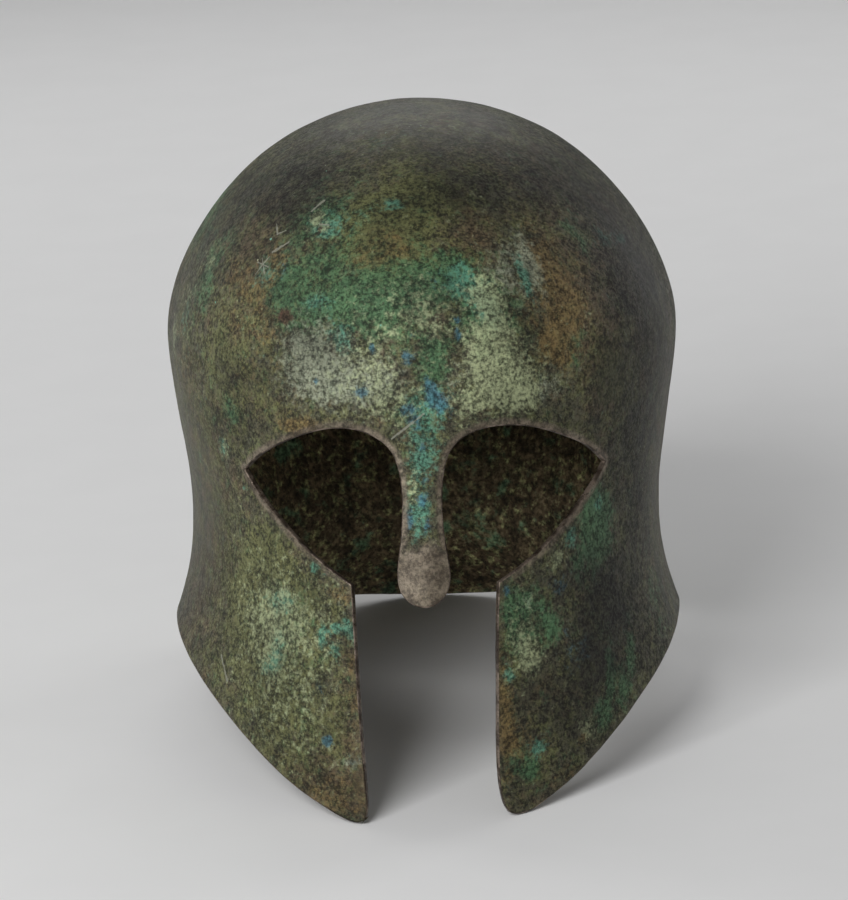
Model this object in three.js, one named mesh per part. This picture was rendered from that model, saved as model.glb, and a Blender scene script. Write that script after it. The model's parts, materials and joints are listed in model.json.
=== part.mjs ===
// A Corinthian helmet, raised from one sheet of bronze: bowl, nose guard, cheek pieces and neck guard are
// one solid. Millimetres, +Z up, face towards -Y. It stands on the tips of its cheek pieces and the middle
// of its neck guard.
//
// The sheet is described as it is worn, level: "level" is the height above the girth, the widest line of
// the bowl, "turn" is the angle round the helmet from the middle of the face (0) past the ears (90) to the
// nape (180), and "across" is the distance from the middle of the face. Both are minus on the -X side, the
// wearer's right.
import * as THREE from "three";
import { mergeVertices } from "three/addons/utils/BufferGeometryUtils.js";

// Thickness of the sheet
const wall = 1.5;
const edge = 2.1; // along every border
const edgeBand = 16; // the width over which the border thins to the wall
const noseGuard = { thickness: 2.8, from: -26, full: -50 }; // it thickens from one level to the other

// Level sections, from the crown down. "side", "front" and "back" are the reach from the upright axis, and
// "point" shapes the front: 2 is round, less is drawn out like a prow. Above the girth the reach is
// rounded off.
const crown = 87.4;
const sections = [
  { level: crown, side: 91.5, front: 117, back: 118, point: 2 },
  { level: 45, side: 92.5, front: 118.5, back: 121, point: 2 },
  { level: 0, side: 94, front: 120.5, back: 122, point: 2 },
  { level: -25, side: 90.5, front: 122.5, back: 117, point: 1.95 },
  { level: -60, side: 86.2, front: 126, back: 105, point: 1.75 },
  { level: -80, side: 87.6, front: 128, back: 101, point: 1.65 },
  { level: -95, side: 91.5, front: 129, back: 105, point: 1.6 },
  { level: -108, side: 96, front: 129, back: 114, point: 1.6 },
  { level: -118, side: 98, front: 129, back: 122, point: 1.6 },
  { level: -165, side: 100, front: 128, back: 140, point: 1.6 },
];

// Outlines, each going on from the last row of the one before. Upper line of the face: from the middle of
// the nose guard's tip, up its side to the nose root, then out over the eye to its outer corner.
const noseTip = [
  { across: 0, level: -82.4 },
  { across: 3.5, level: -81.7 },
  { across: 6.4, level: -79.7 },
];
const noseSide = [
  { across: 8.6, level: -76.4 },
  { across: 9.4, level: -71.5 },
  { across: 8.5, level: -63.5 },
  { across: 7.3, level: -54.5 },
  { across: 7, level: -45 },
  { across: 7.8, level: -35.5 },
  { across: 10.4, level: -28 },
];
const overEye = [
  { across: 15.2, level: -23.7 },
  { across: 22, level: -21.1 },
  { across: 31.5, level: -20.7 },
  { across: 41.5, level: -23.1 },
  { across: 51, level: -27.3 },
  { across: 58.4, level: -32 },
  { across: 63.8, level: -38 },
];
const noseShift = { by: -1.3, until: 15, gone: 40 }; // the guard is bent a little to one side

// Lower line of the face: back under the eye to its inner corner
const underEye = [
  { across: 59.6, level: -45 },
  { across: 52.8, level: -53 },
  { across: 44.2, level: -61.7 },
  { across: 34.8, level: -69.2 },
  { across: 25.7, level: -74.8 },
];
// Front edge of a cheek piece, down and half round its tip, and the rest of the tip. The two are not quite
// alike.
const cheeks = {
  right: {
    front: [
      { across: 24.9, level: -92 },
      { across: 24.2, level: -111 },
      { across: 23.1, level: -131 },
      { across: 21.8, level: -148 },
      { across: 21.7, level: -154.5 },
      { across: 23.2, level: -157.8 },
    ],
    under: [
      { across: 26.2, level: -158.9 },
      { across: 31.4, level: -157.3 },
      { across: 39, level: -153.6 },
    ],
  },
  left: {
    front: [
      { across: 24.8, level: -92 },
      { across: 24.5, level: -111 },
      { across: 24.2, level: -130 },
      { across: 24.5, level: -146 },
      { across: 25.8, level: -152.8 },
      { across: 27.8, level: -156.2 },
    ],
    under: [
      { across: 31, level: -157.2 },
      { across: 35.2, level: -156.1 },
      { across: 40.4, level: -153 },
    ],
  },
};
// The slanting lower edge of a cheek piece, up to the ear, and the rim from there to the nape
const slant = [
  { across: 50.6, level: -146.4 },
  { across: 59.6, level: -138.8 },
  { across: 70.5, level: -128.4 },
  { across: 80.6, level: -118 },
];
const rim = [
  { turn: 65, level: -111.9 },
  { turn: 72.5, level: -105.8 },
  { turn: 82, level: -101.4 },
  { turn: 95, level: -100 },
  { turn: 112, level: -102.5 },
  { turn: 130, level: -106.9 },
  { turn: 147, level: -109.8 },
  { turn: 163, level: -112.4 },
  { turn: 180, level: -113.8 },
];

// The deepest dents, round and smooth: one on the brow and one low on each cheek piece
const dents = [
  { turn: 20.5, level: 44.7, radius: 15, depth: 0.9 },
  { turn: 46, level: -119, radius: 9, depth: 0.6 },
  { turn: -52, level: -115, radius: 8, depth: 0.5 },
];

// How it stands: leaned back until the neck guard meets the surface, and tipped until both cheek pieces do
const lean = 10.385;
const tip = 1.37;

// Mesh: quads along each stretch of the outline, out from the crown over half its cap, down the bowl from
// the cap to the eyes, and down the cheek pieces
const quads = {
  noseTip: 2,
  noseSide: 14,
  overEye: 18,
  underEye: 15,
  back: 24,
  cap: 11,
  bowl: 10,
  cheek: 12,
};
const capReach = 42; // degrees from the crown to the border of its cap
const tight = 1.5; // how much closer the quads are at the tips and the rim
const backSpread = 1.15; // and near the eye's corner
const sameSpot = 1e-3; // points closer than this are one

const { sin, cos, asin, acos, abs, sign, sqrt, hypot, atan2, min, max, round } = Math;
const { degToRad, radToDeg, lerp, smoothstep } = THREE.MathUtils;

// One column of the sections at a level, on a smooth curve through its rows
function sectionAt(name, level) {
  const end = sections.length - 1;
  const lower = sections.findIndex((row) => row.level <= level);
  const i = lower < 0 ? end : max(lower, 1);
  const drop = (k) => sections[k].level - sections[k - 1].level;
  const step = (k) => (sections[k][name] - sections[k - 1][name]) / drop(k);
  const slope = (k) => {
    if (k === 0 || k === end) return step(max(k, 1));
    return (step(k) * drop(k + 1) + step(k + 1) * drop(k)) / (drop(k) + drop(k + 1));
  };
  const span = drop(i);
  const t = (level - sections[i - 1].level) / span;
  const blend = t * t * (3 - 2 * t);
  const straight = lerp(sections[i - 1][name], sections[i][name], blend);
  return straight + span * t * (1 - t) * ((1 - t) * slope(i - 1) - t * slope(i));
}

// A point on the outer face of the sheet
function onSheet({ turn, level }) {
  const rounding = level > 0 ? sqrt(max(0, 1 - (level / crown) ** 2)) : 1;
  const s = sin(degToRad(turn));
  const c = cos(degToRad(turn));
  const reach = sectionAt(c > 0 ? "front" : "back", level);
  const width = sign(s) * abs(s) ** (c > 0 ? 2 / sectionAt("point", level) : 1);
  return new THREE.Vector3(width * sectionAt("side", level) * rounding, -c * reach * rounding, level);
}

// The same place on the face by its distance from the middle
function onFace({ across, level }) {
  const share = min(1, abs(across) / sectionAt("side", level));
  return { turn: sign(across) * radToDeg(asin(share ** (sectionAt("point", level) / 2))), level };
}

// Angle down from the crown. Below the girth it goes on at the pace that it has there, so that evenly spaced
// drops stay evenly spaced.
const dropTo = (level) => (level > 0 ? radToDeg(acos(level / crown)) : 90 - radToDeg(level / crown));
const levelAt = (drop) => (drop < 90 ? crown * cos(degToRad(drop)) : crown * degToRad(90 - drop));

// Places along the smooth curve through the rows of a table, from one row to another, closer together
// towards the first of them if pace is over 1
function along(rows, from, to, count, pace = 1) {
  const key = "turn" in rows[0] ? "turn" : "across";
  const points = rows.map((row) => new THREE.Vector3(row[key], row.level, 0));
  const curve = new THREE.CatmullRomCurve3(points);
  const fine = 60;
  curve.arcLengthDivisions = fine * (rows.length - 1);
  const lengths = curve.getLengths();
  const [start, finish] = [from, to].map((row) => lengths[fine * row] / lengths.at(-1));
  return Array.from({ length: count + 1 }, (_, i) => {
    const { x, y } = curve.getPointAt(lerp(start, finish, (i / count) ** pace));
    return { [key]: x, level: y };
  });
}

// A grid of places filled in between four borders (a Coons patch). Left and right run down from the top.
function patch({ top, bottom, left, right, pace = 1 }) {
  const columns = top.length - 1;
  const rows = left.length - 1;
  return left.map((_, j) =>
    top.map((_, i) => {
      const u = i / columns;
      const v = 1 - (1 - j / rows) ** pace;
      const mix = (name) => {
        const upper = lerp(top[0][name], top[columns][name], u);
        const lower = lerp(bottom[0][name], bottom[columns][name], u);
        const down = lerp(top[i][name], bottom[i][name], v);
        return down + lerp(left[j][name], right[j][name], u) - lerp(upper, lower, v);
      };
      return { turn: mix("turn"), level: mix("level") };
    }),
  );
}

// The sheet of one side (1 on +X, -1 on -X) as grids of points, each running out from the middle of the face
function half(side, cheek) {
  const place = ({ across, turn, level }) => {
    if (across === undefined) return { turn, level };
    const bend = side * noseShift.by * (1 - smoothstep(across, noseShift.until, noseShift.gone));
    return onFace({ across: across + bend, level });
  };
  const line = (rows, from, to, count, pace) => along(rows, from, to, count, pace).map(place);

  const upper = [...noseTip, ...noseSide, ...overEye];
  const heel = noseTip.length - 1;
  const bridge = heel + noseSide.length;
  const outer = upper.length - 1;
  const noseRoot = { across: 0, level: upper[bridge].level };
  const root = line([noseRoot, upper[bridge]], 0, 1, quads.noseTip);
  const brow = [...root, ...line(upper, bridge, outer, quads.overEye).slice(1)];
  const corner = brow.at(-1);
  const back = Array.from({ length: quads.back }, (_, i) => ({
    turn: lerp(corner.turn, 180, ((i + 1) / quads.back) ** backSpread),
    level: corner.level,
  }));

  // The cap of the crown, from back to front. Its border meets the first ring of the bowl.
  const steps = Array.from({ length: 2 * quads.cap + 1 }, (_, j) => 1 - j / quads.cap);
  const cap = steps.map((v) =>
    steps
      .slice(0, quads.cap + 1)
      .reverse()
      .map((u) => {
        const x = u * sqrt(1 - v ** 2 / 2);
        const y = v * sqrt(1 - u ** 2 / 2);
        return { turn: radToDeg(atan2(x, -y)), level: levelAt(capReach * hypot(x, y)) };
      }),
  );

  const temples = [...brow, ...back];
  const bowl = Array.from({ length: quads.bowl + 1 }, (_, j) =>
    temples.map(({ turn, level }, i) => {
      const quarter = round(i / (2 * quads.cap));
      const capTurn = 90 * quarter + radToDeg(asin((i / quads.cap - 2 * quarter) / Math.SQRT2));
      const share = j / quads.bowl;
      return { turn: lerp(capTurn, turn, share), level: levelAt(lerp(capReach, dropTo(level), share)) };
    }),
  );

  const nose = patch({
    top: root,
    bottom: line(upper, 0, heel, quads.noseTip),
    left: line([noseRoot, upper[0]], 0, 1, quads.noseSide),
    right: line(upper, bridge, heel, quads.noseSide),
  });

  const eye = [upper[outer], ...underEye];
  const lower = [eye.at(-1), ...cheek.front, ...cheek.under, ...slant];
  const chin = cheek.front.length;
  const underCheek = line(lower, chin, lower.length - 1, quads.underEye, tight);
  const toNape = [place(slant.at(-2)), underCheek.at(-1), ...rim];
  const nape = [rim.at(-1), { turn: 180, level: corner.level }];
  const cheekPiece = patch({
    top: [...line(eye, eye.length - 1, 0, quads.underEye), ...back],
    bottom: [...underCheek, ...line(toNape, 1, toNape.length - 1, quads.back).slice(1)],
    left: line(lower, chin, 0, quads.cheek, tight).reverse(),
    right: line(nape, 0, 1, quads.cheek, tight).reverse(),
    pace: tight,
  });

  return [cap, bowl, nose, cheekPiece].map((grid) =>
    grid.map((row) => row.map(({ turn, level }) => onSheet({ turn: side * turn, level }))),
  );
}

// Two outward triangles for each quad of a grid that runs out from the middle and down
function trianglesOf(grid, side) {
  const triangles = [];
  for (let j = 1; j < grid.length; j++) {
    for (let i = 1; i < grid[j].length; i++) {
      const [a, b, c, d] = [grid[j - 1][i - 1], grid[j][i - 1], grid[j][i], grid[j - 1][i]];
      triangles.push(...(side > 0 ? [a, b, c, a, c, d] : [a, c, b, a, d, c]));
    }
  }
  return triangles;
}

// The outer face of the sheet, with its dents
function outerFace() {
  const corners = [
    ...half(1, cheeks.left).flatMap((grid) => trianglesOf(grid, 1)),
    ...half(-1, cheeks.right).flatMap((grid) => trianglesOf(grid, -1)),
  ];
  const face = mergeVertices(new THREE.BufferGeometry().setFromPoints(corners), sameSpot);
  face.computeVertexNormals();
  const position = face.attributes.position;
  const point = new THREE.Vector3();
  const normal = new THREE.Vector3();
  for (let i = 0; i < position.count; i++) {
    point.fromBufferAttribute(position, i);
    normal.fromBufferAttribute(face.attributes.normal, i);
    for (const { turn, level, radius, depth } of dents) {
      const away = onSheet({ turn, level }).distanceTo(point);
      point.addScaledVector(normal, -depth * Math.exp(-((away / radius) ** 2)));
    }
    position.setXYZ(i, point.x, point.y, point.z);
  }
  face.computeVertexNormals();
  return face;
}

// The sheet given its thickness: the outer face, the inner face and a strip along every border
function sheetBody() {
  const face = outerFace();
  const { position, normal } = face.attributes;
  const triangles = [];
  for (let t = 0; t < face.index.count; t += 3) {
    triangles.push([0, 1, 2].map((k) => face.index.getX(t + k)));
  }
  const sides = triangles.flatMap(([a, b, c]) => [[a, b], [b, c], [c, a]]);
  const known = new Set(sides.map(String));
  const border = sides.filter(([a, b]) => !known.has(String([b, a])));

  const n = position.count;
  const vectorOf = (attribute, i) => new THREE.Vector3().fromBufferAttribute(attribute, i);
  const outer = Array.from({ length: n }, (_, i) => vectorOf(position, i));
  const inner = outer.map((point, i) => {
    const toBorder = min(...border.map(([a]) => outer[a].distanceTo(point)));
    const onNose = point.y < 0 && abs(point.x) < noseShift.until;
    const down = onNose ? smoothstep(-point.z, -noseGuard.from, -noseGuard.full) : 0;
    const atBorder = lerp(edge, wall, smoothstep(toBorder, 0, edgeBand));
    const thickness = max(atBorder, lerp(wall, noseGuard.thickness, down));
    return vectorOf(normal, i).multiplyScalar(-thickness).add(point);
  });

  const body = new THREE.BufferGeometry().setFromPoints([...outer, ...inner]);
  body.setIndex([
    ...triangles.flat(),
    ...triangles.flatMap(([a, b, c]) => [a + n, c + n, b + n]),
    ...border.flatMap(([a, b]) => [b, a, a + n, b, a + n, b + n]),
  ]);
  return body;
}

const bronze = new THREE.MeshStandardMaterial({ color: 0x4a4f38, roughness: 0.62, metalness: 0.55 });
const sheet = new THREE.Mesh(sheetBody(), bronze);
sheet.name = "helmet_shell";

// Stood on the surface, with the middle of its base at the origin
sheet.geometry.rotateX(-degToRad(lean)).rotateY(degToRad(tip)).computeBoundingBox();
const { min: low, max: high } = sheet.geometry.boundingBox;
sheet.geometry.translate(-(low.x + high.x) / 2, -(low.y + high.y) / 2, -low.z);
sheet.geometry.computeVertexNormals();

const helmet = new THREE.Group();
helmet.name = "corinthian_helmet";
helmet.add(sheet);

export default helmet;
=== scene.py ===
import json
import math

import bpy
import numpy as np
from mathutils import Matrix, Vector
from mathutils.kdtree import KDTree

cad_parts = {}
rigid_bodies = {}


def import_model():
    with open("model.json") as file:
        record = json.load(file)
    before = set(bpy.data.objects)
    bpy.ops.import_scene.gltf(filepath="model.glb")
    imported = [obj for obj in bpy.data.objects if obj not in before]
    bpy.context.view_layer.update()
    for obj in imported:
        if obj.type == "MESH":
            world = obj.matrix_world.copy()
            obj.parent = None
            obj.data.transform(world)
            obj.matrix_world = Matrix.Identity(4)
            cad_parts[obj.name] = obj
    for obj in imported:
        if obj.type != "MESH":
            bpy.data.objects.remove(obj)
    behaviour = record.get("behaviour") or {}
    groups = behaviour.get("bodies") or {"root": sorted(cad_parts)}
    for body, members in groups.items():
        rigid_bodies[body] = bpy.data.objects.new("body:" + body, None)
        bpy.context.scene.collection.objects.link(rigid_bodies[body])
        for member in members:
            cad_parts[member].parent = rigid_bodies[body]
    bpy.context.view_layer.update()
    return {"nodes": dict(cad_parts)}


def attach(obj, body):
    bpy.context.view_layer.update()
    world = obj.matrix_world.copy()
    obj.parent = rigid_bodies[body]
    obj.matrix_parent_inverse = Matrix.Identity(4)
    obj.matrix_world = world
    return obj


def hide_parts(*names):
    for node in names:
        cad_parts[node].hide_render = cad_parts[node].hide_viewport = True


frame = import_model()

# Places on the helmet are given as a turn (degrees round it, 0 in the middle of the face, plus towards +X)
# and a height above the floor. Sizes are in millimetres, and mm turns them into metres.
mm = 0.001


def selectOnly(piece):
    bpy.ops.object.select_all(action="DESELECT")
    piece.select_set(True)
    bpy.context.view_layer.objects.active = piece


def applyModifier(piece, kind, **settings):
    modifier = piece.modifiers.new(kind.lower(), kind)
    for name, value in settings.items():
        setattr(modifier, name, value)
    selectOnly(piece)
    bpy.ops.object.modifier_apply(modifier=modifier.name)


def cloudTexture(name, size, depth):
    texture = bpy.data.textures.new(name, "CLOUDS")
    texture.noise_scale = size * mm
    texture.noise_depth = depth
    return texture


# Gives each face the material of the outside, the inside or the rim
def sortFaces(piece):
    mesh = piece.data
    sharp = {tuple(sorted(edge.vertices)) for edge in mesh.edges if edge.use_edge_sharp}
    beside = {}
    for face in mesh.polygons:
        for key in face.edge_keys:
            beside.setdefault(tuple(sorted(key)), []).append(face.index)
    rim = set()
    for face in mesh.polygons:
        keys = [tuple(sorted(key)) for key in face.edge_keys if tuple(sorted(key)) in sharp]
        if any(not set(a) & set(b) for a in keys for b in keys):
            rim.add(face.index)
    top = max(mesh.polygons, key=lambda face: face.center.z).index
    outside = {top}
    waiting = [top]
    while waiting:
        for key in mesh.polygons[waiting.pop()].edge_keys:
            for index in beside[tuple(sorted(key))]:
                if index not in rim and index not in outside:
                    outside.add(index)
                    waiting.append(index)
    for face in mesh.polygons:
        face.material_index = insideSlot
        if face.index in rim:
            face.material_index = rimSlot
        elif face.index in outside:
            face.material_index = outsideSlot


shell = {
    "node": "helmet_shell",
    "rimAngle": 50,           # edges sharper than this belong to the rim
    "smoothLevels": 2,
    "rimRound": 0.45,         # how far the corners of the rim are rubbed round
    "hammer": (30, 0.55),     # size and depth of the hammered unevenness
    "crust": (8, 0.2),        # size and depth of the crust left by burial
    "slots": ("patina", "inner_patina", "rim_metal"),
}
outsideSlot, insideSlot, rimSlot = range(3)
sameSpot = 0.01               # vertices closer than this are joined


def buildShell():
    node = frame["nodes"][shell["node"]]
    selectOnly(node)
    bpy.ops.object.duplicate()
    piece = bpy.context.view_layer.objects.active
    piece.name = "helmet_bronze"
    bpy.ops.object.mode_set(mode="EDIT")
    bpy.ops.mesh.select_all(action="SELECT")
    bpy.ops.mesh.remove_doubles(threshold=sameSpot * mm)
    bpy.ops.mesh.tris_convert_to_quads(face_threshold=math.radians(80),
                                       shape_threshold=math.radians(120))
    bpy.ops.mesh.select_mode(type="EDGE")
    bpy.ops.mesh.select_all(action="DESELECT")
    bpy.ops.mesh.edges_select_sharp(sharpness=math.radians(shell["rimAngle"]))
    bpy.ops.transform.edge_crease(value=1)
    bpy.ops.mesh.mark_sharp()
    bpy.ops.object.mode_set(mode="OBJECT")
    piece.data.materials.clear()
    for name in shell["slots"]:
        piece.data.materials.append(bpy.data.materials.new(name))
    sortFaces(piece)
    applyModifier(piece, "SUBSURF", levels=shell["smoothLevels"], boundary_smooth="PRESERVE_CORNERS")
    for name, depth in (("hammer", 1), ("crust", 2)):
        size, height = shell[name]
        applyModifier(piece, "DISPLACE", texture=cloudTexture(name, size, depth), strength=height * mm,
                      mid_level=0.5, texture_coords="LOCAL")
    bpy.ops.object.mode_set(mode="EDIT")
    bpy.ops.mesh.select_mode(type="EDGE")
    bpy.ops.mesh.select_all(action="DESELECT")
    bpy.ops.object.mode_set(mode="OBJECT")
    for edge in piece.data.edges:
        edge.select = edge.use_edge_sharp
    bpy.ops.object.mode_set(mode="EDIT")
    bpy.ops.mesh.mark_sharp(clear=True)
    bpy.ops.transform.edge_crease(value=-1)
    bpy.ops.mesh.bevel(offset=shell["rimRound"] * mm, segments=2, profile=0.6, affect="EDGES",
                       material=rimSlot)
    bpy.ops.object.mode_set(mode="OBJECT")
    bpy.ops.object.shade_smooth()
    return piece


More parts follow.
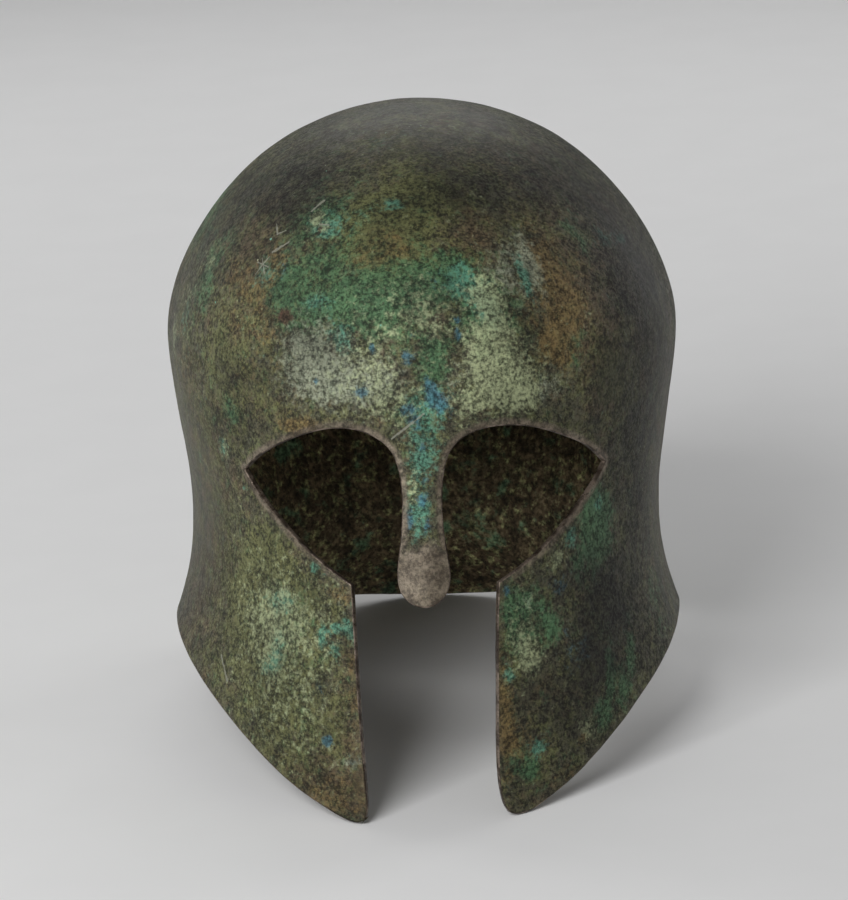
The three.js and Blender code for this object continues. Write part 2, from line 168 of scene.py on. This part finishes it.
# Stains, each a soft-edged patch: the turn and height of its middle, its half width and half height, how
# far it leans to the right (degrees), and how much of the surface it covers at its middle. Most kinds are
# layers of the patina. The darkening kind deepens it, partly as darker patina and partly as painted shade
# on the right side and the crown; "smooth" calms its relief, "flecks" says how large its bright flecks grow
# and "bare" is metal without it.
stains = {
    "olive": [
        (-2, 203, 7, 10, 0, 0.5), (-14, 201, 7, 6, 0, 0.45), (-8, 192, 16, 8, 0, 0.5),
        (-33, 80, 22, 14, 0, 0.45), (-30, 60, 26, 18, 0, 0.45), (-48, 150, 24, 28, 0, 0.2),
        (-25, 30, 22, 14, 0, 0.3), (5, 205, 10, 6, 0, 0.3), (45, 140, 12, 16, 0, 0.25),
        (150, 120, 40, 50, 0, 0.35), (-120, 100, 40, 40, 0, 0.3),
    ],
    "green": [
        (-12, 183, 24, 9, 0, 0.5), (6, 184, 12, 6, 0, 0.6), (-6, 172, 14, 10, 0, 0.5),
        (-24, 172, 14, 8, 0, 0.4), (3, 158, 6, 8, 0, 0.6), (14, 172, 12, 12, 0, 0.5),
        (-30, 180, 12, 8, 0, 0.4), (-28, 200, 14, 8, 0, 0.45), (-64, 172, 10, 16, 0, 0.4),
        (33, 157, 7, 6, 0, 0.4), (47, 188, 8, 6, 0, 0.4), (-44, 134, 7, 7, 0, 0.35),
        (36, 94, 9, 10, 0, 0.75), (34, 82, 12, 10, 0, 0.6), (15, 72, 8, 6, 0, 0.6), (15, 62, 6, 8, 0, 0.5),
        (21, 61, 6, 7, 0, 0.65), (33, 38, 2.5, 10, 12, 0.8), (40, 38, 3, 11, 15, 0.6),
        (36, 30, 3, 8, 12, 0.6), (30, 25, 5, 6, 0, 0.6), (14, 16, 5, 5, 0, 0.7), (57, 50, 8, 12, 0, 0.3),
        (5, 98, 2, 9, 0, 0.5), (-24, 62, 10, 14, 0, 0.25), (-2, 140, 12, 8, 0, 0.3),
        (170, 160, 30, 24, 0, 0.6), (-140, 60, 30, 20, 0, 0.5), (115, 150, 20, 26, 0, 0.4),
        (-100, 185, 26, 10, 0, 0.5), (140, 60, 18, 20, 0, 0.5), (-170, 100, 16, 30, 0, 0.4),
    ],
    "ochre": [
        (30, 165, 11, 14, 0, 0.45), (27, 156, 7, 9, 0, 0.4), (36, 172, 12, 16, 0, 0.4),
        (32, 186, 5, 10, 0, 0.4), (-45, 178, 16, 10, 0, 0.35), (-36, 184, 6, 8, 0, 0.35),
        (-37, 160, 12, 14, 0, 0.25), (-24, 134, 8, 4, 0, 0.75), (-15, 80, 9, 5, 0, 0.45),
        (-12, 48, 6, 18, 0, 0.4), (-17, 8, 16, 9, 0, 0.4), (10.5, 36, 4, 22, 0, 0.7),
        (14, 28, 6, 8, 0, 0.35), (25, 20, 3, 2.5, 0, 0.6), (-7, 193, 12, 5, 0, 0.35),
        (-5, 113, 2, 12, 0, 0.6), (-66, 140, 12, 14, 0, 0.3), (24, 8, 14, 8, 0, 0.3),
        (-160, 60, 24, 16, 0, 0.5), (160, 190, 26, 12, 0, 0.4), (-110, 140, 20, 24, 0, 0.4),
    ],
    "grey": [
        (-22, 158, 15, 15, 0, 0.75), (-14, 152, 13, 10, 0, 0.6), (-6, 152, 9, 9, 0, 0.4),
        (22, 184, 9, 10, 0, 0.55), (28, 183, 3.5, 10, 0, 0.7), (26, 145, 10, 7, 0, 0.5),
        (16, 73, 6, 5, 0, 0.35), (-14, 76, 8, 8, 0, 0.25), (-13, 22, 5, 5, 0, 0.35),
        (8, 150, 10, 10, 0, 0.3), (175, 130, 14, 20, 0, 0.4),
    ],
    "turquoise": [
        (-22, 176, 6, 4, 0, 0.6), (-15, 166, 6, 5, 0, 0.55), (9, 184, 7, 5, 0, 0.6),
        (-6, 205, 4, 1.6, 0, 0.8), (-25, 197, 5, 2, 0, 0.7), (15, 171, 5, 5, 0, 0.6),
        (13, 178, 7, 5, 0, 0.55), (25, 180, 2.2, 8, 0, 0.75), (58, 183, 7, 4, 0, 0.5),
        (66, 180, 5, 3, 0, 0.5), (2, 143, 9, 9, 0, 0.55), (0, 128, 6, 8, 0, 0.5), (-1, 110, 5, 12, 0, 0.6),
        (-29, 69, 8, 3.5, 0, 0.6), (-27, 73, 5, 3, 0, 0.6), (-28, 56, 4, 7, 0, 0.7),
        (-30, 48, 6, 4, 0, 0.5), (-18.5, 64, 2, 4, 0, 0.95), (-16, 67, 3, 2, 0, 0.7),
        (-14, 69, 2, 2, 0, 0.9), (-12.5, 66, 2, 3, 0, 0.8), (-16, 59, 3, 3, 0, 0.7),
        (-20.5, 86, 2, 2.5, 0, 0.9), (-12, 76, 3, 1.6, 0, 0.8), (-40, 107, 2.5, 2, 0, 0.7),
        (-48, 118, 3, 4, 0, 0.6), (37, 96, 4, 4, 0, 0.6), (28, 89, 4, 4, 0, 0.5), (12, 49, 3, 3, 0, 0.8),
        (16, 22, 4, 3, 0, 0.7), (-22, 200, 12, 6, 0, 0.35), (-38, 182, 8, 4, 0, 0.45),
        (-70, 160, 5, 10, 0, 0.35), (4, 95, 1.6, 6, 0, 0.6), (170, 90, 6, 24, 0, 0.6),
        (-150, 150, 8, 18, 0, 0.5), (125, 90, 9, 16, 0, 0.5),
    ],
    "pale": [
        (15, 166, 10, 7, 0, 0.5), (12, 158, 6, 6, 0, 0.5), (17, 152, 12, 10, 0, 0.5),
        (20, 144, 9, 7, 0, 0.45), (14, 179, 5, 5, 0, 0.5), (16, 176, 5, 6, 0, 0.6),
        (-10, 155, 14, 12, 0, 0.35), (0, 174, 16, 10, 0, 0.35), (-29, 200, 3, 2, 0, 0.9),
        (-25, 198, 3, 1.3, 0, 0.8), (-64, 178, 4, 1.6, 0, 0.8), (-2, 118, 2, 5, 0, 0.5),
        (-26, 48, 26, 34, 0, 0.3), (-30, 66, 18, 12, 0, 0.35), (24, 83, 4, 3.5, 0, 0.6),
        (16, 53, 5, 5, 0, 0.7), (26, 22, 4, 4, 0, 0.5), (-78, 147, 3, 7, 0, 0.6), (15, 64, 5, 9, 0, 0.4),
        (-47, 119, 2, 3, 0, 0.6), (10, 145, 12, 7, 0, 0.45), (-6, 145, 9, 7, 0, 0.35),
        (-70, 165, 8, 20, 0, 0.2), (178, 150, 20, 20, 0, 0.4), (-120, 80, 20, 20, 0, 0.35),
    ],
    "blue": [
        (-9, 163, 1.6, 1.6, 0, 1.1), (-2, 160, 3.2, 2.6, 0, 0.8), (-11, 148.5, 3.5, 2, 0, 0.9),
        (-20.5, 151, 1.3, 1, 0, 1), (2, 149, 3, 5, 0, 0.85), (-2.5, 143, 4, 3.5, 0, 0.75),
        (4, 143, 4, 4, 0, 0.65), (-1, 137, 3, 3, 0, 0.75), (8, 166, 1.6, 3, 0, 0.7),
        (8, 171, 1.4, 1.2, 0, 0.9), (-1, 167, 1.6, 1.4, 0, 0.6), (0, 130, 2.2, 3, 0, 0.7),
        (0, 119, 1.8, 2, 0, 0.7), (-0.5, 112, 2.4, 3, 0, 0.85), (-3, 106, 2, 5, 0, 0.6),
        (0, 103, 2, 4, 0, 0.6), (-17, 28, 2.5, 2.5, 0, 1.1), (-18.5, 47, 3, 3, 0, 0.6),
        (-13, 22, 4, 3, 0, 0.4), (24, 75, 9, 5, 0, 0.5), (13, 78, 2, 3, 0, 0.6), (25, 50, 9, 11, 0, 0.5),
        (-33, 184, 2.5, 3, 0, 0.5), (4, 183, 2, 2, 0, 0.6), (165, 170, 5, 9, 0, 0.7),
        (-175, 70, 4, 12, 0, 0.5),
    ],
    "red": [
        (-29, 170.5, 4, 3, 0, 0.9), (-26, 197, 2, 1.6, 0, 0.7), (-12, 60, 3, 8, 0, 0.4),
        (-60, 135, 8, 6, 0, 0.3),
    ],
    # Darker patina, and painted shade: these patches also darken the right side and the crown, where less
    # light falls
    "darkPatinaAndShade": [
        (14, 207, 18, 10, 0, 0.6), (-36, 203, 24, 8, 0, 0.45), (48, 172, 14, 28, 0, 0.4),
        (62, 150, 22, 50, 0, 0.85), (45, 122, 16, 16, 0, 0.6), (33, 62, 14, 14, 0, 0.85),
        (40, 58, 20, 24, 0, 0.8), (20, 40, 14, 10, 0, 0.6), (29, 42, 12, 12, 0, 0.7),
        (25, 75, 8, 6, 0, 0.4), (-18.5, 47, 3, 3, 0, 0.8), (-50, 187, 14, 7, 0, 0.4),
        (12, 8, 14, 8, 0, 0.4), (22, 20, 16, 14, 0, 0.4), (55, 90, 18, 30, 0, 0.6), (36, 112, 8, 6, 0, 0.5),
        (-58, 204, 26, 14, 0, 0.75), (-40, 206, 16, 8, 0, 0.4), (-75, 190, 18, 30, 0, 0.4),
        (40, 205, 26, 10, 0, 0.6), (66, 175, 22, 30, 0, 0.6), (42, 145, 12, 14, 0, 0.5),
        (-20, 22, 18, 12, 0, 0.3), (-68, 60, 16, 40, 0, 0.35), (0, 178, 12, 5, 0, 0.25),
        (-130, 120, 40, 40, 0, 0.5), (100, 120, 40, 60, 0, 0.6), (150, 200, 40, 20, 0, 0.4),
    ],
    "brown": [
        (-40, 168, 14, 12, 0, 0.4), (-50, 190, 16, 14, 0, 0.4), (-12, 30, 10, 26, 0, 0.4),
        (-20, 12, 22, 12, 0, 0.4), (-64, 60, 30, 40, 0, 0.3), (-50, 110, 20, 20, 0, 0.2),
        (38, 165, 14, 30, 0, 0.5), (55, 170, 20, 40, 0, 0.3), (-8, 120, 3, 20, 0, 0.5),
        (15, 195, 10, 8, 0, 0.4), (80, 100, 20, 90, 0, 0.3), (170, 60, 40, 30, 0, 0.4),
    ],
    "smooth": [
        (-62, 95, 24, 42, 0, 1.0), (-80, 120, 20, 90, 0, 0.7), (72, 110, 24, 110, 0, 1.0),
        (0, 223, 180, 10, 0, 0.8), (-12, 16, 3, 14, 0, 0.7), (45, 140, 14, 16, 0, 0.4),
        (180, 110, 60, 70, 0, 0.4),
    ],
    "flecks": [
        (-40, 192, 26, 26, 0, 1.0), (-60, 170, 20, 30, 0, 0.8), (-25, 50, 26, 50, 0, 0.6),
        (0, 170, 30, 30, 0, 0.6), (30, 30, 20, 30, 0, 0.4), (180, 120, 60, 90, 0, 0.5),
    ],
    "bare": [
        (0, 84, 16, 14, 0, 1.3),
    ],
}


# Paints the stains and the distance from the rim on the mesh, one attribute each
def paintStains(piece):
    mesh = piece.data
    count = len(mesh.vertices)
    place = np.empty(count * 3)
    mesh.vertices.foreach_get("co", place)
    x, y, z = place.reshape(-1, 3).T / mm
    turn = np.degrees(np.arctan2(x, -y))
    out = np.hypot(x, y)
    cover = {kind: np.zeros(count) for kind in stains}
    for kind, rows in stains.items():
        for middle, height, wide, high, lean, amount in rows:
            across = np.radians((turn - middle + 180) % 360 - 180) * out
            up = z - height
            slant = math.radians(lean)
            u = (across * math.cos(slant) - up * math.sin(slant)) / wide
            v = (across * math.sin(slant) + up * math.cos(slant)) / high
            cover[kind] += amount * np.exp(-(u * u + v * v))
    rimFaces = [face for face in mesh.polygons if face.material_index == rimSlot]
    rimVertices = sorted({vertex for face in rimFaces for vertex in face.vertices})
    rimPlaces = place.reshape(-1, 3)[rimVertices]
    tree = KDTree(len(rimVertices))
    for index, spot in enumerate(rimPlaces):
        tree.insert(spot, index)
    tree.balance()
    cover["fromRim"] = np.array([tree.find(spot)[2] for spot in place.reshape(-1, 3)]) / mm
    for kind, values in cover.items():
        mesh.attributes.new(kind, "FLOAT", "POINT").data.foreach_set("value", values)


# The point of the outer face at a turn and a height
def pointOn(turn, height):
    outward = Vector((math.sin(math.radians(turn)), -math.cos(math.radians(turn)), 0))
    farOut = 300 * mm
    hit, place, normal, face = helmet.ray_cast(outward * farOut + Vector((0, 0, height * mm)), -outward)
    return place


# Small helpers for the materials. A value is a number, a colour or the output of another node.
class Nodes:
    def __init__(self, material):
        material.use_nodes = True
        self.tree = material.node_tree
        self.tree.nodes.clear()
        self.place = self.add("TexCoord").outputs["Object"]
        self.height = self.maths("DIVIDE", self.add("SeparateXYZ", {"Vector": self.place}).outputs["Z"], mm)

    def add(self, kind, inputs={}, **settings):
        node = self.tree.nodes.new("ShaderNode" + kind)
        for name, value in settings.items():
            setattr(node, name, value)
        for name, value in inputs.items():
            socket = node.inputs[name]
            if isinstance(value, bpy.types.NodeSocket):
                self.tree.links.new(value, socket)
            elif socket.type == "RGBA" and len(value) == 3:
                socket.default_value = (*value, 1)
            else:
                socket.default_value = value
        return node

    def maths(self, operation, a, b=0.0):
        return self.add("Math", {0: a, 1: b}, operation=operation).outputs[0]

    # A number between two others, as far over to the second as the share says
    def between(self, share, a, b):
        return self.add("Mix", {0: share, 2: a, 3: b}).outputs[0]

    def noise(self, size, detail, rough, seed=0.0):
        inputs = {"Vector": self.place, "W": seed, "Scale": 1 / (size * mm), "Detail": detail,
                  "Roughness": rough}
        return self.add("TexNoise", inputs, noise_dimensions="4D").outputs["Fac"]

    def spots(self, size):
        return self.add("TexVoronoi", {"Vector": self.place, "Scale": 1 / (size * mm)})

    # A scratch from one point to another, thinner where the noise is low
    def line(self, start, end, width, noise):
        along = (end - start).normalized()
        offset = self.add("VectorMath", {0: self.place, 1: start}, operation="SUBTRACT").outputs[0]
        run = self.add("VectorMath", {0: offset, 1: along}, operation="DOT_PRODUCT").outputs["Value"]
        run = self.maths("MINIMUM", self.maths("MAXIMUM", run, 0.0), (end - start).length)
        foot = self.add("VectorMath", {0: along, "Scale": run}, operation="SCALE").outputs[0]
        away = self.add("VectorMath", {0: offset, 1: foot}, operation="DISTANCE").outputs["Value"]
        reach = self.maths("MULTIPLY", self.ramp(noise, 0.3, 0.6, (0.4, 1.3)), width * mm)
        return self.maths("SUBTRACT", 1.0, self.ramp(self.maths("DIVIDE", away, reach), 0.35, 0.65))

    def painted(self, name):
        return self.add("Attribute", attribute_name=name).outputs["Fac"]

    def ramp(self, value, low, high, to=(0.0, 1.0)):
        inputs = {"Value": value, "From Min": low, "From Max": high, "To Min": to[0], "To Max": to[1]}
        return self.add("MapRange", inputs, interpolation_type="SMOOTHSTEP").outputs[0]

    # Where a layer lies: wherever the noise is above a level, which sinks as the cover grows
    def layer(self, cover, noise, soft):
        noneAt, fallsBy = 0.7, 0.4
        level = self.maths("SUBTRACT", noneAt, self.maths("MULTIPLY", cover, fallsBy))
        return self.ramp(self.maths("SUBTRACT", noise, level), -soft, soft)

    # One colour laid over another
    def mix(self, factor, a, b, blend="MIX"):
        node = self.add("Mix", data_type="RGBA", blend_type=blend)
        for index, value in ((0, factor), (6, a), (7, b)):
            socket = node.inputs[index]
            if isinstance(value, bpy.types.NodeSocket):
                self.tree.links.new(value, socket)
            elif index == 0:
                socket.default_value = value
            else:
                socket.default_value = (*value, 1)
        return node.outputs[2]

    def times(self, colour, other):
        return self.mix(1.0, colour, other, "MULTIPLY")

    def finish(self, colour, roughness, metallic, height, depth, specular=0.5):
        bump = self.add("Bump", {"Height": height, "Distance": depth * mm, "Strength": 1.0})
        shader = self.add("BsdfPrincipled", {"Base Color": colour, "Roughness": roughness,
                                             "Metallic": metallic, "Normal": bump.outputs[0]})
        shader.inputs["Specular IOR Level"].default_value = specular
        self.add("OutputMaterial", {"Surface": shader.outputs[0]})


# Layers of the patina, the lowest first: the kind of stain, how much of it is everywhere, its colour, how
# soft its edges are and how much of its break-up is fine
patinaLayers = [
    ("brown", 0.25, (0.085, 0.058, 0.030), 0.12, 0.3),
    ("olive", 0.40, (0.088, 0.094, 0.034), 0.10, 0.5),
    ("green", 0.18, (0.042, 0.108, 0.048), 0.10, 0.5),
    ("ochre", 0.12, (0.130, 0.088, 0.032), 0.10, 0.5),
    ("grey", 0.00, (0.190, 0.210, 0.150), 0.12, 0.7),
    ("turquoise", 0.06, (0.060, 0.180, 0.125), 0.10, 0.6),
    ("pale", 0.14, (0.235, 0.265, 0.150), 0.09, 0.75),
    ("blue", -0.05, (0.032, 0.100, 0.135), 0.09, 0.5),
    ("red", 0.05, (0.060, 0.018, 0.012), 0.09, 0.5),
]
patinaLook = {
    "grain": (1.1, 2.6, 7),      # sizes of the grains, the granules and the lumps
    "shares": (0.55, 0.3, 0.15), # how much each of them counts
    "ground": (0.042, 0.040, 0.024),
    "contrast": (0.25, 1.9),     # brightness of the pits and of the grains' tops
    "cover": 0.75,               # how well a layer hides what is under it
    "relief": 0.9,
    "fleckSize": 4.2,
    "wornWidth": (0.8, 2.8),     # from the rim: rubbed bare up to here, and not at all from here
    "wornHeight": (70, 95),      # below this the rim is hardly rubbed, and above it well
    "bareMetal": ((0.100, 0.078, 0.058), (0.20, 0.165, 0.125)),
    "scratch": (0.30, 0.30, 0.24),
    "specular": 0.28,
}
# Scratches: turn and height of both ends, and width
scratches = [
    (-5.5, 133, 0.4, 141, 0.8), (-42, 181, -39.5, 187, 0.6), (-39, 182, -42, 186, 0.5),
    (-43, 184.5, -38.5, 184, 0.5), (-39, 188.5, -35, 192, 1.1), (-43, 196, -40.5, 193.5, 0.7),
    (-40.5, 193.5, -38, 195, 0.6), (-32, 201.5, -29.5, 204.5, 1.0), (-27, 198.5, -24, 198.5, 0.8),
    (-44, 45, -41, 38, 0.9),
]


def patina(material):
    n = Nodes(material)
    fineSize, mediumSize, lumpSize = patinaLook["grain"]
    fine = n.noise(fineSize, 4, 0.7)
    medium = n.noise(mediumSize, 3, 0.6, seed=3)
    lumps = n.noise(lumpSize, 4, 0.62, seed=5)
    broad = n.noise(24, 4, 0.6, seed=9)
    weighted = zip((fine, medium, lumps), patinaLook["shares"])
    parts = [n.maths("MULTIPLY", part, share) for part, share in weighted]
    uneven = n.maths("ADD", n.maths("ADD", parts[0], parts[1]), parts[2])
    smooth = n.maths("MINIMUM", n.painted("smooth"), 1.0)
    rugged = n.ramp(smooth, 0.0, 1.0, (0.95, 0.22))
    tone = n.between(rugged, 1.0, n.ramp(uneven, 0.41, 0.59, patinaLook["contrast"]))

    colour = patinaLook["ground"]
    crust = uneven
    for seed, (kind, everywhere, tint, soft, fineShare) in enumerate(patinaLayers):
        small = n.noise(1.9, 4, 0.65, seed=20 + 3 * seed)
        large = n.noise(8, 4, 0.62, seed=60 + 3 * seed)
        broken = n.between(fineShare, large, small)
        mask = n.layer(n.maths("ADD", n.painted(kind), everywhere), broken, soft)
        colour = n.mix(n.maths("MULTIPLY", mask, patinaLook["cover"]), colour, tint)
        crust = n.maths("ADD", crust, n.maths("MULTIPLY", mask, 0.06))
    colour = n.times(colour, tone)
    # Painted shade, in part: the darkening stains, broken up by noise, darken the colour both as darker
    # patina and as shade painted on the right side and the crown
    patchy = n.ramp(n.noise(6, 4, 0.65, seed=111), 0.3, 0.65, (0.5, 1.0))
    shade = n.maths("MINIMUM", n.maths("MULTIPLY", n.painted("darkPatinaAndShade"), patchy), 0.9)
    colour = n.mix(shade, colour, n.times(colour, (0.2, 0.2, 0.21)))
    colour = n.times(colour, n.ramp(broad, 0.3, 0.7, (0.7, 1.3)))

    # Small flecks of bright corrosion, each with its own size
    cells = n.spots(patinaLook["fleckSize"])
    size = n.add("SeparateXYZ", {"Vector": cells.outputs["Color"]})
    radius = n.ramp(size.outputs["X"], 0.6, 1.0, (0.0, 0.15))
    fleck = n.maths("LESS_THAN", cells.outputs["Distance"], n.maths("MULTIPLY", radius, n.painted("flecks")))
    fleckColour = n.mix(n.ramp(size.outputs["Y"], 0.4, 0.6), (0.45, 0.46, 0.30), (0.18, 0.42, 0.32))
    colour = n.mix(n.maths("MULTIPLY", fleck, 0.85), colour, fleckColour)

    # Bare metal, on the end of the nose guard and where the rim is rubbed
    bare = n.ramp(n.maths("ADD", n.painted("bare"), n.maths("MULTIPLY", lumps, 0.9)), 0.8, 1.15)
    worn = n.maths("SUBTRACT", 1.0, n.ramp(n.painted("fromRim"), *patinaLook["wornWidth"]))
    worn = n.maths("MULTIPLY", worn, n.ramp(medium, 0.35, 0.5, (0.5, 1.0)))
    worn = n.maths("MULTIPLY", worn, n.ramp(n.height, *patinaLook["wornHeight"], (0.1, 1.0)))
    metal = n.maths("MAXIMUM", bare, worn)
    metalColour = n.mix(n.ramp(lumps, 0.35, 0.65), *patinaLook["bareMetal"])
    metalColour = n.times(metalColour, n.ramp(uneven, 0.42, 0.58, (0.6, 1.35)))
    colour = n.mix(n.maths("MULTIPLY", metal, 0.85), colour, metalColour)

    scratched = 0.0
    for turn, height, endTurn, endHeight, width in scratches:
        ends = pointOn(turn, height), pointOn(endTurn, endHeight)
        scratched = n.maths("MAXIMUM", scratched, n.line(*ends, width, medium))
    colour = n.mix(n.maths("MULTIPLY", scratched, 0.6), colour, patinaLook["scratch"])

    raised = n.maths("MULTIPLY", rugged, n.ramp(metal, 0.0, 1.0, (1.0, 0.3)))
    relief = n.maths("MULTIPLY", crust, raised)
    relief = n.maths("SUBTRACT", relief, n.maths("MULTIPLY", scratched, 0.1))
    polished = 0.42
    roughness = n.between(metal, n.ramp(uneven, 0.4, 0.6, (0.75, 0.5)), polished)
    roughness = n.between(n.maths("MULTIPLY", smooth, 0.6), roughness, polished)
    metallic = n.maths("MULTIPLY", metal, 0.35)
    n.finish(colour, roughness, metallic, relief, patinaLook["relief"], patinaLook["specular"])


def innerPatina(material):
    n = Nodes(material)
    grain = n.noise(1.8, 5, 0.66, seed=2)
    patch = n.noise(14, 4, 0.6, seed=4)
    colour = n.mix(n.ramp(patch, 0.35, 0.65), (0.085, 0.062, 0.036), (0.15, 0.115, 0.065))
    speckle = n.layer(0.3, n.noise(2.6, 4, 0.65, seed=12), 0.07)
    colour = n.mix(speckle, colour, (0.30, 0.30, 0.14))
    greenish = n.layer(0.2, n.noise(9, 4, 0.65, seed=15), 0.07)
    colour = n.mix(greenish, colour, (0.12, 0.20, 0.11))
    colour = n.times(colour, n.ramp(grain, 0.36, 0.64, (0.35, 1.7)))
    colour = n.times(colour, n.ramp(n.noise(5, 4, 0.6, seed=18), 0.35, 0.65, (0.5, 1.6)))
    n.finish(colour, 0.75, 0.0, grain, 0.8, 0.3)


def rimMetal(material):
    n = Nodes(material)
    fine = n.noise(1.2, 3, 0.6, seed=2)
    patch = n.noise(5, 3, 0.6, seed=4)
    colour = n.mix(n.ramp(patch, 0.4, 0.62), (0.050, 0.036, 0.026), (0.24, 0.19, 0.15))
    colour = n.mix(n.maths("MULTIPLY", n.ramp(fine, 0.5, 0.7), 0.6), colour, (0.03, 0.024, 0.018))
    n.finish(colour, n.ramp(fine, 0.3, 0.7, (0.22, 0.5)), 0.6, fine, 0.15)


floor = {"size": 9000, "colour": (0.85, 0.85, 0.85)}


def addFloor():
    bpy.ops.mesh.primitive_plane_add(size=floor["size"] * mm, location=(0, 0, 0))
    ground = bpy.context.active_object
    ground.name = "floor"
    material = bpy.data.materials.new("floor_paint")
    n = Nodes(material)
    paint = n.noise(40, 3, 0.5)
    shade = floor["colour"]
    colour = n.mix(n.ramp(paint, 0.3, 0.7), [c * 0.985 for c in shade], shade)
    n.finish(colour, 0.85, 0.0, paint, 0.05)
    ground.data.materials.append(material)


lights = [
    {"name": "key", "turn": -28, "climb": 32, "away": 1500, "size": (800, 800), "power": 17},
    {"name": "fill", "turn": 55, "climb": 20, "away": 2000, "size": (900, 900), "power": 0.8},
    {"name": "crown", "turn": 180, "climb": 30, "away": 1500, "size": (1200, 500), "power": 4},
    {"name": "left_edge", "turn": -125, "climb": 18, "away": 1500, "size": (500, 900), "power": 4},
    {"name": "right_edge", "turn": 125, "climb": 18, "away": 1500, "size": (500, 900), "power": 4},
]
lightsAim = 110  # height that the lights point at
skyStrength = 0.15


# A place as far away from the middle of the helmet as wanted
def around(turn, climb, away):
    a, c = math.radians(turn), math.radians(climb)
    out = math.cos(c) * away * mm
    return math.sin(a) * out, -math.cos(a) * out, math.sin(c) * away * mm + lightsAim * mm


def addLights():
    for light in lights:
        bpy.ops.object.light_add(type="AREA", location=around(light["turn"], light["climb"], light["away"]))
        lamp = bpy.context.active_object
        lamp.name = light["name"] + "_light"
        lamp.data.shape = "RECTANGLE"
        lamp.data.size, lamp.data.size_y = (side * mm for side in light["size"])
        lamp.data.energy = light["power"]
        lamp.rotation_euler = (math.radians(90 - light["climb"]), 0, math.radians(light["turn"]))
    world = bpy.data.worlds.new("sky")
    bpy.context.scene.world = world
    world.use_nodes = True
    background = world.node_tree.nodes["Background"]
    background.inputs["Color"].default_value = (1, 1, 1, 1)
    background.inputs["Strength"].default_value = skyStrength


camera = {
    "aim": (-0.5, 5.8, 92.1),
    "distance": 1800,
    "angles": (72.6, 2.59, -0.38),
    "lens": 194.4,
}


def addCamera():
    bpy.ops.object.camera_add()
    eye = bpy.context.active_object
    eye.rotation_euler = [math.radians(angle) for angle in camera["angles"]]
    bpy.context.view_layer.update()
    back = eye.matrix_world.to_3x3().col[2]
    distance = camera["distance"] * mm
    eye.location = [aim * mm + axis * distance for aim, axis in zip(camera["aim"], back)]
    eye.data.lens = camera["lens"]
    eye.data.sensor_fit = "AUTO"
    eye.data.sensor_width = 36
    eye.data.clip_end = 50
    bpy.context.scene.camera = eye
    bpy.context.scene.view_settings.view_transform = "Standard"


for left in [thing for thing in bpy.data.objects if thing.name in ("Cube", "Light", "Camera")]:
    bpy.data.objects.remove(left)

helmet = buildShell()
print("shell:", len(helmet.data.polygons), "faces")
paintStains(helmet)
print("stains:", sum(len(rows) for rows in stains.values()), "patches")
for material, finish in zip(helmet.data.materials, (patina, innerPatina, rimMetal)):
    finish(material)
print("materials:", len(helmet.data.materials))
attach(helmet, "root")
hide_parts(shell["node"])
addFloor()
addLights()
addCamera()
print("stage: floor, lights and camera")
